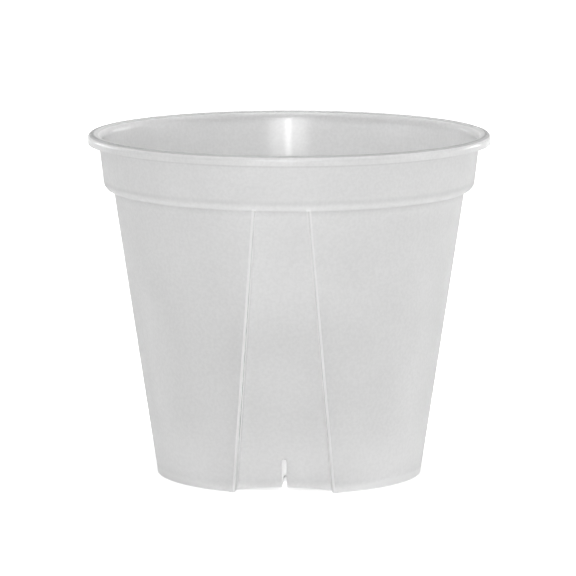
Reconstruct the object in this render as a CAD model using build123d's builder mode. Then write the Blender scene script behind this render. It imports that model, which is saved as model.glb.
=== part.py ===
from build123d import *
from math import atan, cos, hypot, radians, sin, sqrt
import os

# Orchid pot with slots: one thin moulded shell, in millimetres, standing on z = 0.
# The axis of the pot is Z, and one of its sunk panels faces -Y.

# Shell
wall = 0.7

# Tapered body, from the ground up to the shelf
foot_radius = 42.8
body_flare = 13.9
body_height = 92.7

# Pads: what the pot stands on, one beside each lower corner of a panel
pad_height = 0.3
pad_width = 2.2
pad_depth = 2.6
pad_round = 0.2

# Collar: the wide band over the shelf
shelf_width = 2.9
shelf_round = 2.75
collar_flare = 1.8
collar_height = 15.1

# Rim: the wall turns out over a crest and down into a short skirt, hollow below
rim_overhang = 3.6
rim_height = 3.0
crest_inner_round = 2.3
crest_outer_round = 1.4

# Sunk panels: flat faces that lean more than the body, so they sink deeper towards the foot
panel_count = 3
panel_top_depth = 1.7
panel_foot_depth = 7.2
panel_top_width = 16.8
panel_foot_width = 30.5
panel_side_angle = 6.0
panel_inner_round = 0.5
panel_edge_round = 0.5
panel_ceiling_round = 1.5
round_limit_share = 0.5
edge_match_share = 0.1
panel_arch_rise = 0.8

# Floor: a plate set a little up inside the foot, with a raised middle
floor_lift = 1.5
floor_thickness = 0.8
dome_rise = 3.0
dome_top_radius = 9.0
dome_foot_radius = 17.0
dome_round = 1.5

# Slots: one up the middle of each panel, run on into the floor, and one in the floor between
slot_width = 1.6
slot_height = 10.5
floor_slot_start_radius = 21.0
between_slot_end_radius = 37.0

# How far each cutter runs past what it cuts
overrun = 2.0

# Sizes that follow
body_top_radius = foot_radius + body_flare
collar_foot_radius = body_top_radius + shelf_width
collar_top_radius = collar_foot_radius + collar_flare
rim_radius = collar_top_radius + rim_overhang
rim_base_height = body_height + collar_height
pot_height = rim_base_height + rim_height
crest_level = pot_height - crest_inner_round
panel_top_distance = body_top_radius - panel_top_depth
panel_foot_distance = foot_radius - panel_foot_depth
corner_distance = sqrt(foot_radius**2 - (panel_foot_width / 2) ** 2)
floor_top = floor_lift + floor_thickness
half_floor = floor_thickness / 2
half_slot = slot_width / 2

# A panel's side is shallowest under the shelf, and its rounds are limited to a share of it
side_depth = sqrt(body_top_radius**2 - (panel_top_width / 2) ** 2) - panel_top_distance
inner_round = min(panel_inner_round, side_depth * round_limit_share)
edge_round = min(panel_edge_round, side_depth * round_limit_share)


def rising(level, at_foot, at_shelf):
    """A size that grows evenly from the foot to the shelf, read at one level."""
    return at_foot + (at_shelf - at_foot) * level / body_height


def body_radius(level):
    """Outer radius of the tapered body at one level."""
    return rising(level, foot_radius, body_top_radius)


def panel_distance(level):
    """How far a panel's face lies from the axis at one level."""
    return rising(level, panel_foot_distance, panel_top_distance)


def collar_radius(level):
    """Outer radius of the collar at one level."""
    return collar_foot_radius + collar_flare * (level - body_height) / collar_height


# Where the crest's two rounds are struck from, and the corner inside the shelf
crest_inner_radius = collar_radius(crest_level) - wall + crest_inner_round
crest_outer_radius = rim_radius - crest_outer_round
shelf_top = body_height + wall
shelf_corner = (collar_radius(shelf_top) - wall, shelf_top)


def recess(gap):
    """The block that sinks the front panel, grown by gap on every side that it cuts."""
    lean = atan((panel_top_distance - panel_foot_distance) / body_height)
    outward = (0, -cos(lean), -sin(lean))
    face = Plane(origin=(0, -panel_foot_distance, 0), x_dir=(1, 0, 0), z_dir=outward).offset(-gap)
    side_angle = radians(panel_side_angle)
    spread = gap * (1 - sin(side_angle)) / cos(side_angle)
    low = -2 * overrun
    high = body_height + 2 * overrun
    low_half = rising(low, panel_foot_width, panel_top_width) / 2
    high_half = rising(high, panel_foot_width, panel_top_width) / 2
    with BuildPart() as block:
        with BuildSketch(face):
            with BuildLine():
                Polyline(
                    (-low_half, low / cos(lean)),
                    (low_half, low / cos(lean)),
                    (high_half, high / cos(lean)),
                    (-high_half, high / cos(lean)),
                    close=True,
                )
            make_face()
            if gap > 0:
                offset(amount=spread, kind=Kind.INTERSECTION)
        extrude(amount=panel_foot_depth + shelf_width + gap, taper=-panel_side_angle)
        split(bisect_by=Plane.XY.offset(body_height + gap), keep=Keep.BOTTOM)
        inner_face = block.faces().sort_by(Axis.Y)[-1]
        fillet(inner_face.edges().sort_by(Axis.Z)[-1], panel_ceiling_round + gap)
        inner_face = block.faces().sort_by(Axis.Y)[-1]
        sides = inner_face.edges().sort_by(Axis.X)
        fillet([sides[0], sides[-1]], inner_round + gap)
    return block.part


def on_body(edge):
    """True for an edge that climbs the tapered body where a panel's side meets it."""
    ends = [edge @ 0, edge @ 1]
    off = [abs(hypot(end.X, end.Y) - body_radius(end.Z)) for end in ends]
    climb = abs(ends[0].Z - ends[1].Z)
    return max(off) < edge_round * edge_match_share and climb > body_height / 2


# Blocks that leave a pad beside each lower corner of the front panel
with BuildPart() as pads:
    pad_shift = (panel_foot_width + pad_width) / 2
    pad_end = foot_radius + overrun
    pad_start = corner_distance - pad_depth
    pad_middle = (pad_start + pad_end) / 2
    with BuildSketch(Plane.XY.offset(-overrun)):
        with Locations((-pad_shift, -pad_middle), (pad_shift, -pad_middle)):
            Rectangle(pad_width, pad_end - pad_start)
    extrude(amount=overrun + floor_lift + half_floor)

# What is taken off under the foot's edge, so that only the pads touch the ground
with BuildPart() as relief:
    with BuildSketch(Plane.XY.offset(-overrun)):
        Circle(body_top_radius)
    extrude(amount=overrun + pad_height)
    with PolarLocations(0, panel_count):
        add(pads.part, mode=Mode.SUBTRACT)

# Outside of the pot as a filled solid: the body with its panels, then the collar and rim
with BuildPart() as outside:
    with BuildSketch(Plane.XZ):
        with BuildLine():
            Polyline(
                (0, 0),
                (foot_radius, 0),
                (body_top_radius, body_height),
                (0, body_height),
                close=True,
            )
        make_face()
    revolve(axis=Axis.Z)
    with PolarLocations(0, panel_count):
        add(recess(0), mode=Mode.SUBTRACT)
    fillet(outside.edges().filter_by(on_body), edge_round)
    fillet(outside.faces().sort_by(Axis.Z)[0].edges(), pad_round)
    add(relief.part, mode=Mode.SUBTRACT)
    with BuildSketch(Plane.XZ) as band:
        with BuildLine():
            Polyline(
                (0, body_height),
                (collar_foot_radius, body_height),
                (collar_top_radius, rim_base_height),
                (rim_radius, rim_base_height),
                (rim_radius, pot_height),
                (0, pot_height),
                close=True,
            )
        make_face()
        fillet(band.vertices().sort_by_distance((collar_foot_radius, body_height))[0], shelf_round)
        fillet(band.vertices().sort_by_distance((rim_radius, pot_height))[0], crest_outer_round)
    revolve(axis=Axis.Z)

# Floor as a slab that reaches past the wall, so that the hollow's edge trims it
with BuildPart() as floor:
    with BuildSketch(Plane.XZ) as slab:
        with BuildLine():
            Polyline(
                (0, floor_lift + dome_rise),
                (dome_top_radius, floor_lift + dome_rise),
                (dome_foot_radius, floor_lift),
                (foot_radius + overrun, floor_lift),
                (foot_radius + overrun, floor_top),
                (dome_foot_radius, floor_top),
                (dome_top_radius, floor_top + dome_rise),
                (0, floor_top + dome_rise),
                close=True,
            )
        make_face()
        bends = [
            point
            for point in slab.vertices()
            if abs(point.X - dome_top_radius) < dome_round
            or abs(point.X - dome_foot_radius) < dome_round
        ]
        fillet(bends, dome_round)
    revolve(axis=Axis.Z)

# Hollow of the pot: what lies a wall's thickness inside, above and below the floor
with BuildPart() as hollow:
    with BuildSketch(Plane.XZ):
        with BuildLine():
            Polyline(
                (0, -overrun),
                (body_radius(-overrun) - wall, -overrun),
                (body_radius(shelf_top) - wall, shelf_top),
                (0, shelf_top),
                close=True,
            )
        make_face()
    revolve(axis=Axis.Z)
    with PolarLocations(0, panel_count):
        add(recess(wall), mode=Mode.SUBTRACT)
        add(pads.part, mode=Mode.SUBTRACT)
    add(floor.part, mode=Mode.SUBTRACT)
    with BuildSketch(Plane.XZ) as mouth:
        with BuildLine():
            Polyline(
                (crest_inner_radius, pot_height),
                (crest_inner_radius, pot_height + overrun),
                (0, pot_height + overrun),
                (0, shelf_top),
                shelf_corner,
                (collar_radius(crest_level) - wall, crest_level),
            )
            RadiusArc(
                (collar_radius(crest_level) - wall, crest_level),
                (crest_inner_radius, pot_height),
                crest_inner_round,
            )
        make_face()
        fillet(mouth.vertices().sort_by_distance(shelf_corner)[0], shelf_round - wall)
    revolve(axis=Axis.Z)

# Groove under the rim, which leaves the crest and the skirt one wall thick
with BuildPart() as groove:
    with BuildSketch(Plane.XZ):
        with BuildLine():
            RadiusArc(
                (collar_radius(crest_level), crest_level),
                (crest_inner_radius, pot_height - wall),
                crest_inner_round - wall,
            )
            Line(
                (crest_inner_radius, pot_height - wall),
                (crest_outer_radius, pot_height - wall),
            )
            RadiusArc(
                (crest_outer_radius, pot_height - wall),
                (rim_radius - wall, pot_height - crest_outer_round),
                crest_outer_round - wall,
            )
            Polyline(
                (rim_radius - wall, pot_height - crest_outer_round),
                (rim_radius - wall, rim_base_height - overrun),
                (collar_top_radius, rim_base_height - overrun),
                (collar_top_radius, rim_base_height),
                (collar_radius(crest_level), crest_level),
            )
        make_face()
    revolve(axis=Axis.Z)

# What is cut through the front panel: its slot, and the arch along its bottom edge
with BuildPart() as panel_cuts:
    behind = panel_foot_distance - wall - overrun
    depth = panel_distance(slot_height) + overrun - behind
    arch_half = panel_foot_width / 2 - 2 * inner_round
    arch_top = pad_height + panel_arch_rise
    slot_top = slot_height - half_slot
    with BuildSketch(Plane.XZ.offset(behind)):
        with Locations((0, (slot_top - overrun) / 2)):
            SlotCenterToCenter(slot_top + overrun, slot_width, rotation=90)
    extrude(amount=depth)
    with BuildSketch(Plane.XZ.offset(behind)):
        with BuildLine():
            ThreePointArc((-arch_half, pad_height), (0, arch_top), (arch_half, pad_height))
            Polyline(
                (arch_half, pad_height),
                (arch_half, -overrun),
                (-arch_half, -overrun),
                (-arch_half, pad_height),
            )
        make_face()
    extrude(amount=depth)


def floor_slot(end_radius):
    """A slot in the floor, round at both ends, that runs out from the dome towards -Y."""
    with BuildPart() as cutter:
        with BuildSketch():
            with Locations((0, -(floor_slot_start_radius + end_radius) / 2)):
                SlotCenterToCenter(end_radius - floor_slot_start_radius, slot_width, rotation=90)
        extrude(amount=floor_top + overrun)
    return cutter.part


# The pot itself
with BuildPart() as pot:
    add(outside.part)
    add(hollow.part, mode=Mode.SUBTRACT)
    add(groove.part, mode=Mode.SUBTRACT)
    with PolarLocations(0, panel_count):
        add(panel_cuts.part, mode=Mode.SUBTRACT)
        add(floor_slot(panel_foot_distance), mode=Mode.SUBTRACT)
    with PolarLocations(0, panel_count, start_angle=180 / panel_count):
        add(floor_slot(between_slot_end_radius), mode=Mode.SUBTRACT)
pot.part.label = "pot"

os.makedirs("parts", exist_ok=True)
export_step(pot.part, "parts/pot.step")
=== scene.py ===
"""Orchid pot with slots: the looks of its frosted wall, with the floor, the light and the camera."""

import math
from collections import namedtuple

import bpy
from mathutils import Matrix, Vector


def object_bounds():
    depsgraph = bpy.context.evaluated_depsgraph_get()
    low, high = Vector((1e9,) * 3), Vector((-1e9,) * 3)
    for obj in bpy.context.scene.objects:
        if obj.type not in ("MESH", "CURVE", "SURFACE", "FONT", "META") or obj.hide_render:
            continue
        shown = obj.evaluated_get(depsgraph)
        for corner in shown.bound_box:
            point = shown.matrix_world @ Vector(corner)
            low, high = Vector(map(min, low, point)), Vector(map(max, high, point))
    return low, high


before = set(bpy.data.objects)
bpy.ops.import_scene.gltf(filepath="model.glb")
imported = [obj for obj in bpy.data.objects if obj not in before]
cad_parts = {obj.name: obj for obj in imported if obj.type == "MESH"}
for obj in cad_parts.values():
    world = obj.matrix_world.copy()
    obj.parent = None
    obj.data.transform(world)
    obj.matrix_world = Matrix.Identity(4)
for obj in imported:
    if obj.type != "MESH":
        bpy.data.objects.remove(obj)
cad_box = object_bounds()

MM = 0.001

# Camera, as the photograph sees the pot: far off, a little above, and turned off the front panel.
# The pot's axis lies a little right of the frame's middle.
CAMERA_DISTANCE = 1.6
CAMERA_HEIGHT = 0.29776
CAMERA_REACH = 20.0
CAMERA_TURN = math.radians(2.5)
AIM_HEIGHT = 0.06006
SENSOR_WIDTH = 36.0
FRAME_PIXELS = 576
FOCAL_PIXELS = 4988.5
AXIS_PIXEL_OFFSET = 1.2

# Floor
FLOOR_RADIUS = 4.0
FLOOR_SIDES = 96
FLOOR_TONE = 0.9
FLOOR_GLOW = 0.7

# Light: the level all round, and the soft rectangular lamps, in metres, degrees and watts. A lamp's
# turn is counted from the camera's side towards +X, and it looks at a height on the pot's axis.
WORLD_LEVEL = 0.28
Lamp = namedtuple("Lamp", "name distance turn height aimed_at wide tall power")
LAMPS = (
    Lamp("top", 0.0, 0.0, 1.5, 0.0, 0.7, 0.7, 13.0),
    Lamp("key", 2.2, 0.6, 0.52, 0.1, 0.05, 0.65, 3.1),
    Lamp("fill", 2.3, 0.6, 0.52, 0.1, 1.0, 0.65, 9.5),
    Lamp("front", 2.0, -8.0, 0.11, 0.05, 1.0, 0.2, 9.5),
    Lamp("side", 2.0, 84.0, 0.11, 0.05, 1.0, 0.2, 7.3),
    Lamp("rear_left", 2.0, -130.0, 0.3, 0.1, 1.0, 0.3, 5.0),
    Lamp("rear_right", 2.0, 130.0, 0.3, 0.1, 1.0, 0.3, 6.5),
)

# The pot's own sizes. A panel's corners are measured from its middle, at the foot and at the shelf.
PANELS = 3
CORNER_FOOT = 15.7 * MM
CORNER_TOP = 8.5 * MM
FLOOR_REACH = 34 * MM
SHELF_HEIGHT = 92.7 * MM
RIM_RADIUS = cad_box[1][0]
RIM_TOP = cad_box[1][2]
LIP_FOOT = RIM_TOP - 3 * MM
CREST_RING = RIM_RADIUS - 2.2 * MM

# The plastic's tone, the lightest that it gets, and the white of the painted highlights on the
# creases and the painted light on the pot's floor
PLASTIC_TONE = 0.75
LIGHTEST = 0.95
PAINTED_LIGHT_WHITE = 0.98

# Cloudy patterns: how fine and how detailed they are, and the lowest and highest value they give
Pattern = namedtuple("Pattern", "scale detail lowest highest")
FINE_MOTTLE = Pattern(1000.0, 2.0, 0.972, 1.028)
BROAD_MOTTLE = Pattern(45.0, 1.0, 0.98, 1.02)
ROUGHNESS = Pattern(250.0, 2.0, 0.42, 0.52)

# The part of a cloud's own range that a pattern is spread over
CLOUD_LOW = 0.3
CLOUD_HIGH = 0.7

# Marks in the plastic: most paint light and shade into its tone, the rest set its gloss and
# scattering.
# Each is a product of steps along the pot's measures: z is the height, radius the distance from the
# axis, off_middle the turn off the nearest panel's middle in radians, and past_side how far a spot
# lies outside the line of the panel's side. A Band is 1 round its middle and fades to 0. A Ramp goes
# from one value to another between two places. A name alone stands for a mask that comes with the
# measures, or for a mark further up.
Band = namedtuple("Band", "measure middle half_width fade")
Ramp = namedtuple("Ramp", "measure start end before after")
MARKS = {
    # Painted shade: darker patches beside the panels and half way up them
    "flank_painted_shade": (
        Band("off_middle", 0.6, 0.1, 0.4),
        Band("z", 38 * MM, 8 * MM, 34 * MM),
    ),
    "middle": (
        Band("off_middle", 0.0, 0.2, 0.3),
        Band("z", 37 * MM, 9 * MM, 24 * MM),
    ),
    # A painted sheen up the middle of each panel, and painted light on the foot away from the panels
    # and on the hem
    "centre_painted_sheen": (
        Band("off_middle", 0.0, 0.15, 0.35),
        "outside",
    ),
    "foot": (
        Ramp("z", 2 * MM, 24 * MM, 1.0, 0.0),
        Ramp("off_middle", 0.3, 0.9, 0.0, 1.0),
    ),
    "hem_painted_light": (
        Ramp("z", 0.5 * MM, 3.5 * MM, 1.0, 0.0),
    ),
    # Painted light along the recess's inner corners, lifting the shade there
    "inner_corner_painted_light": (
        Ramp("past_side", -5 * MM, -0.6 * MM, 0.0, 1.0),
        "body",
        "recess",
        Ramp("z", 30 * MM, 90 * MM, 1.0, 0.3),
    ),
    # Painted shade on the collar towards the lip and on its lower round, and a painted shadow line
    # under it
    "collar_top_painted_shade": (
        Ramp("z", LIP_FOOT - 9.8 * MM, LIP_FOOT - 0.8 * MM, 0.0, 1.0),
        "outside",
    ),
    "collar_round_painted_shade": (
        Band("z", SHELF_HEIGHT + 1.3 * MM, 1.2 * MM, 1.6 * MM),
    ),
    "shelf_painted_shadow": (
        Band("z", SHELF_HEIGHT - 0.9 * MM, 0.4 * MM, 1.0 * MM),
    ),
    # The rim's crest with painted shade, its lip with painted light, and a painted shadow line under
    # the lip
    "crest": (
        Ramp("z", RIM_TOP - 2 * MM, RIM_TOP - 0.8 * MM, 0.0, 1.0),
    ),
    "lip": (
        Ramp("z", LIP_FOOT - 0.2 * MM, LIP_FOOT + 0.3 * MM, 0.0, 1.0),
        Ramp("radius", RIM_RADIUS - 1.4 * MM, RIM_RADIUS - 1 * MM, 0.0, 1.0),
    ),
    "under_lip_painted_shadow": (
        Band("z", LIP_FOOT - 0.5 * MM, 0.2 * MM, 0.5 * MM),
        "outside",
    ),
    # Painted shade on the ring along the crest, the crest's outer edge and its inner round
    "crest_ring_painted_shade": (
        Band("radius", CREST_RING, 0.9 * MM, 0.3 * MM),
        Ramp("z", RIM_TOP - 0.8 * MM, RIM_TOP - 0.5 * MM, 0.0, 1.0),
    ),
    "crest_edge_painted_shade": (
        Ramp("radius", CREST_RING + 0.2 * MM, CREST_RING + 0.4 * MM, 0.0, 1.0),
        Ramp("z", RIM_TOP - 0.6 * MM, RIM_TOP - 0.3 * MM, 0.0, 1.0),
    ),
    "inner_round_painted_shade": (
        "inside",
        Ramp("z", RIM_TOP - 2.4 * MM, RIM_TOP - 1.4 * MM, 0.0, 1.0),
    ),
    # Painted highlights where the panels' sides meet the body, and painted light on the pot's floor
    "crease_painted_highlight": (
        Band("past_side", 0.05 * MM, 0.55 * MM, 0.25 * MM),
        "body",
        Ramp("z", 45 * MM, 85 * MM, 1.0, 0.6),
    ),
    "plate": (
        "enclosed",
        Ramp("z", 12 * MM, 18 * MM, 1.0, 0.0),
    ),
    # Gloss on the inside above the floor, weaker on its upper edge, and gloss on the lip
    "inner_gloss": (
        "inside",
        Ramp("z", 14 * MM, 20 * MM, 0.0, 1.0),
        Ramp("z", RIM_TOP - 2.8 * MM, RIM_TOP - 1.8 * MM, 1.0, 0.3),
    ),
    "lip_gloss": (
        "lip",
        Ramp("z", RIM_TOP - 1 * MM, RIM_TOP - 0.4 * MM, 0.7, 0.0),
    ),
    # The foot's lower edge, where less light scatters in the wall
    "dense_edge": (
        Ramp("z", 1 * MM, 5 * MM, 1.0, 0.0),
    ),
}

# How much painted light (above 0) or painted shade (below 0) each mark adds, as a share of the
# plastic's tone
TONE_SHARES = {
    "flank_painted_shade": -0.1,
    "middle": -0.14,
    "centre_painted_sheen": 0.05,
    "foot": 0.17,
    "hem_painted_light": 0.25,
    "inner_corner_painted_light": 0.03,
    "collar_top_painted_shade": -0.07,
    # Painted light on the whole inner wall
    "inside": 0.07,
    "collar_round_painted_shade": -0.13,
    "shelf_painted_shadow": -0.045,
    "crest": -0.12,
    "lip": 0.1,
    "under_lip_painted_shadow": -0.08,
    "crest_ring_painted_shade": -0.25,
    "crest_edge_painted_shade": -0.4,
    "inner_round_painted_shade": -0.04,
}

# What is the same all over the skin, and its fine grain
SKIN = {
    "Coat Roughness": 0.15,
    "IOR": 1.49,
    "Specular IOR Level": 0.08,
    "Subsurface Radius": (1.0, 1.0, 1.0),
    "Subsurface Scale": 4 * MM,
    "Transmission Weight": 0.15,
}
GRAIN_STRENGTH = 0.15
GRAIN_DEPTH = 0.1 * MM


def level(value):
    """A neutral colour."""
    return (value, value, value, 1.0)


def around(distance, azimuth, height):
    """A place seen from the pot: azimuth 0 is the camera's side, and it turns towards +X."""
    turn = CAMERA_TURN + azimuth
    return Vector((distance * math.sin(turn), -distance * math.cos(turn), height))


def aim(obj, place, aimed_at):
    """Puts an object at a place, looking at a height on the pot's axis."""
    obj.location = place
    towards = Vector((0, 0, aimed_at)) - place
    obj.rotation_euler = towards.to_track_quat("-Z", "Y").to_euler()


def add_camera():
    """The camera at the photograph's viewing angle."""
    data = bpy.data.cameras.new("camera")
    data.sensor_width = SENSOR_WIDTH
    data.lens = SENSOR_WIDTH * FOCAL_PIXELS / FRAME_PIXELS
    data.shift_x = -AXIS_PIXEL_OFFSET / FRAME_PIXELS
    data.clip_end = CAMERA_REACH
    camera = bpy.data.objects.new("camera", data)
    bpy.context.scene.collection.objects.link(camera)
    aim(camera, around(CAMERA_DISTANCE, 0, CAMERA_HEIGHT), AIM_HEIGHT)
    bpy.context.scene.camera = camera


def add_lamp(plan):
    """A soft rectangular lamp."""
    data = bpy.data.lights.new(plan.name, "AREA")
    data.shape = "RECTANGLE"
    data.size = plan.wide
    data.size_y = plan.tall
    data.energy = plan.power
    lamp = bpy.data.objects.new(plan.name, data)
    bpy.context.scene.collection.objects.link(lamp)
    aim(lamp, around(plan.distance, math.radians(plan.turn), plan.height), plan.aimed_at)


def maths(tree, operation, first, second=None, third=None):
    """A Math node's result: each input is a socket or a number."""
    node = tree.nodes.new("ShaderNodeMath")
    node.operation = operation
    for slot, value in zip(node.inputs, (first, second, third)):
        if value is None:
            continue
        if isinstance(value, bpy.types.NodeSocket):
            tree.links.new(value, slot)
        else:
            slot.default_value = value
    return node.outputs[0]


def ramp(tree, value, start, end, before, after):
    """A value carried smoothly from one range to another, and held at its ends."""
    node = tree.nodes.new("ShaderNodeMapRange")
    node.interpolation_type = "SMOOTHSTEP"
    tree.links.new(value, node.inputs["Value"])
    node.inputs["From Min"].default_value = start
    node.inputs["From Max"].default_value = end
    node.inputs["To Min"].default_value = before
    node.inputs["To Max"].default_value = after
    return node.outputs["Result"]


def band(tree, value, middle, half_width, fade):
    """1 where a value lies within half_width of the middle, and 0 past the fade."""
    off = maths(tree, "ABSOLUTE", maths(tree, "SUBTRACT", value, middle))
    return ramp(tree, off, half_width, half_width + fade, 1.0, 0.0)


def cloud(tree, place, pattern):
    """A cloudy pattern around 0.5."""
    node = tree.nodes.new("ShaderNodeTexNoise")
    node.inputs["Scale"].default_value = pattern.scale
    node.inputs["Detail"].default_value = pattern.detail
    tree.links.new(place, node.inputs["Vector"])
    return node.outputs["Fac"]


def patterned(tree, place, pattern):
    """A value that follows a cloudy pattern, from its lowest to its highest."""
    clouds = cloud(tree, place, pattern)
    return ramp(tree, clouds, CLOUD_LOW, CLOUD_HIGH, pattern.lowest, pattern.highest)


def changed(tree, tone, mask, share):
    """A tone raised or lowered by a share where the mask is 1."""
    return maths(tree, "MULTIPLY", tone, maths(tree, "MULTIPLY_ADD", mask, share, 1.0))


def seen_directly(tree):
    """1 for the camera's own rays and those that mirror or pass through the plastic, else 0."""
    path = tree.nodes.new("ShaderNodeLightPath")
    seen = maths(tree, "MAXIMUM", path.outputs["Is Camera Ray"], path.outputs["Is Glossy Ray"])
    return maths(tree, "MAXIMUM", seen, path.outputs["Is Transmission Ray"])


def white_light(tree, strength):
    """White light from all round, of one strength."""
    node = tree.nodes.new("ShaderNodeBackground")
    node.inputs["Color"].default_value = level(1.0)
    node.inputs["Strength"].default_value = strength
    return node.outputs["Background"]


def add_world():
    """Even light from all round, and white where the camera looks past the floor."""
    world = bpy.data.worlds.new("studio")
    bpy.context.scene.world = world
    world.use_nodes = True
    tree = world.node_tree
    tree.nodes.clear()
    out = tree.nodes.new("ShaderNodeOutputWorld")
    mix = tree.nodes.new("ShaderNodeMixShader")
    tree.links.new(seen_directly(tree), mix.inputs["Fac"])
    tree.links.new(white_light(tree, WORLD_LEVEL), mix.inputs[1])
    tree.links.new(white_light(tree, 1.0), mix.inputs[2])
    tree.links.new(mix.outputs["Shader"], out.inputs["Surface"])


def new_material(name):
    """A bare material, its node tree and its output."""
    material = bpy.data.materials.new(name)
    material.use_nodes = True
    tree = material.node_tree
    tree.nodes.clear()
    return material, tree, tree.nodes.new("ShaderNodeOutputMaterial")


def floor_material():
    """Pale matt floor, brought up to white where the camera sees it, that keeps the pot's shadow."""
    material, tree, out = new_material("floor_white")
    matt = tree.nodes.new("ShaderNodeBsdfDiffuse")
    matt.inputs["Color"].default_value = level(FLOOR_TONE)
    glow = tree.nodes.new("ShaderNodeEmission")
    glow.inputs["Color"].default_value = level(1.0)
    lift = maths(tree, "MULTIPLY", seen_directly(tree), FLOOR_GLOW)
    tree.links.new(lift, glow.inputs["Strength"])
    both = tree.nodes.new("ShaderNodeAddShader")
    tree.links.new(matt.outputs["BSDF"], both.inputs[0])
    tree.links.new(glow.outputs["Emission"], both.inputs[1])
    tree.links.new(both.outputs["Shader"], out.inputs["Surface"])
    return material


def add_floor():
    """A wide disc on the ground."""
    turns = [2 * math.pi * i / FLOOR_SIDES for i in range(FLOOR_SIDES)]
    ring = [(FLOOR_RADIUS * math.cos(turn), FLOOR_RADIUS * math.sin(turn), 0) for turn in turns]
    mesh = bpy.data.meshes.new("floor")
    mesh.from_pydata(ring, [], [list(range(FLOOR_SIDES))])
    floor = bpy.data.objects.new("floor", mesh)
    bpy.context.scene.collection.objects.link(floor)
    mesh.materials.append(floor_material())


def facing_axis(tree, x, y, normal):
    """1 where the skin faces the pot's axis, else 0."""
    outward = tree.nodes.new("ShaderNodeCombineXYZ")
    tree.links.new(x, outward.inputs["X"])
    tree.links.new(y, outward.inputs["Y"])
    facing = tree.nodes.new("ShaderNodeVectorMath")
    facing.operation = "DOT_PRODUCT"
    tree.links.new(outward.outputs["Vector"], facing.inputs[0])
    tree.links.new(normal, facing.inputs[1])
    return maths(tree, "LESS_THAN", facing.outputs["Value"], 0.0)


def measured(tree, coordinates):
    """The measures and the masks that come with them.

    inside and outside are the skin that faces the axis or away from it, enclosed is the inside with
    the pot's floor, body lies below the shelf, and recess lies between a panel's sides.
    """
    split = tree.nodes.new("ShaderNodeSeparateXYZ")
    tree.links.new(coordinates.outputs["Object"], split.inputs["Vector"])
    x, y, z = split.outputs
    squares = maths(tree, "ADD", maths(tree, "MULTIPLY", x, x), maths(tree, "MULTIPLY", y, y))
    radius = maths(tree, "SQRT", squares)

    # Where a spot lies round the nearest panel, and how far outside the line of the panel's side
    turn = maths(tree, "ADD", maths(tree, "ARCTAN2", y, x), math.pi / 2)
    turn = maths(tree, "WRAP", turn, math.pi / PANELS, -math.pi / PANELS)
    off_middle = maths(tree, "ABSOLUTE", turn)
    beside = maths(tree, "MULTIPLY", radius, maths(tree, "SINE", off_middle))
    corner = maths(tree, "MULTIPLY_ADD", z, (CORNER_TOP - CORNER_FOOT) / SHELF_HEIGHT, CORNER_FOOT)
    past_side = maths(tree, "SUBTRACT", beside, corner)

    inside = facing_axis(tree, x, y, coordinates.outputs["Normal"])
    return {
        "z": z,
        "radius": radius,
        "off_middle": off_middle,
        "past_side": past_side,
        "inside": inside,
        "outside": maths(tree, "SUBTRACT", 1.0, inside),
        "enclosed": maths(tree, "MAXIMUM", inside, maths(tree, "LESS_THAN", radius, FLOOR_REACH)),
        "body": ramp(tree, z, SHELF_HEIGHT, SHELF_HEIGHT + 1 * MM, 1.0, 0.0),
        "recess": maths(tree, "LESS_THAN", past_side, 0.0),
    }


def mark(tree, known, steps):
    """A mark's mask, made by multiplying its steps."""
    mask = None
    for step in steps:
        if isinstance(step, Band):
            factor = band(tree, known[step.measure], step.middle, step.half_width, step.fade)
        elif isinstance(step, Ramp):
            factor = ramp(tree, known[step.measure], step.start, step.end, step.before, step.after)
        else:
            factor = known[step]
        if mask is None:
            mask = factor
        else:
            mask = maths(tree, "MULTIPLY", mask, factor)
    return mask


def plastic_tone(tree, place, known):
    """The plastic's colour: a fine and a broad mottle, the painted light and shade of the marks, and
    painted highlights on the creases and painted light on the floor.
    """
    tone = patterned(tree, place, FINE_MOTTLE)
    tone = maths(tree, "MULTIPLY", tone, patterned(tree, place, BROAD_MOTTLE))
    tone = maths(tree, "MULTIPLY", tone, PLASTIC_TONE)
    for name, share in TONE_SHARES.items():
        tone = changed(tree, tone, known[name], share)
    tone = maths(tree, "MINIMUM", tone, LIGHTEST)
    white = maths(tree, "MAXIMUM", known["crease_painted_highlight"], known["plate"])
    return maths(tree, "MULTIPLY_ADD", white, maths(tree, "SUBTRACT", PAINTED_LIGHT_WHITE, tone), tone)


def frosted_plastic():
    """Milky polypropylene that scatters light: matt outside, and glossier inside and on the lip."""
    material, tree, out = new_material("frosted_plastic")
    coordinates = tree.nodes.new("ShaderNodeTexCoord")
    place = coordinates.outputs["Object"]
    known = measured(tree, coordinates)
    for name, steps in MARKS.items():
        known[name] = mark(tree, known, steps)

    skin = tree.nodes.new("ShaderNodeBsdfPrincipled")
    for name, value in SKIN.items():
        skin.inputs[name].default_value = value
    tree.links.new(plastic_tone(tree, place, known), skin.inputs["Base Color"])
    tree.links.new(patterned(tree, place, ROUGHNESS), skin.inputs["Roughness"])
    gloss = maths(tree, "MAXIMUM", known["inner_gloss"], known["lip_gloss"])
    tree.links.new(gloss, skin.inputs["Coat Weight"])

    # Light scatters in the wall, and hardly in the pot's floor and the foot's lower edge
    dense = maths(tree, "MAXIMUM", known["plate"], known["dense_edge"])
    tree.links.new(maths(tree, "SUBTRACT", 1.0, dense), skin.inputs["Subsurface Weight"])

    grain = tree.nodes.new("ShaderNodeBump")
    grain.inputs["Strength"].default_value = GRAIN_STRENGTH
    grain.inputs["Distance"].default_value = GRAIN_DEPTH
    tree.links.new(cloud(tree, place, FINE_MOTTLE), grain.inputs["Height"])
    tree.links.new(grain.outputs["Normal"], skin.inputs["Normal"])
    tree.links.new(skin.outputs["BSDF"], out.inputs["Surface"])
    return material


add_camera()
add_world()
add_floor()
for plan in LAMPS:
    add_lamp(plan)

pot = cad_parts["pot"]
pot.data.materials.clear()
pot.data.materials.append(frosted_plastic())

scene = bpy.context.scene
scene.view_settings.view_transform = "Standard"
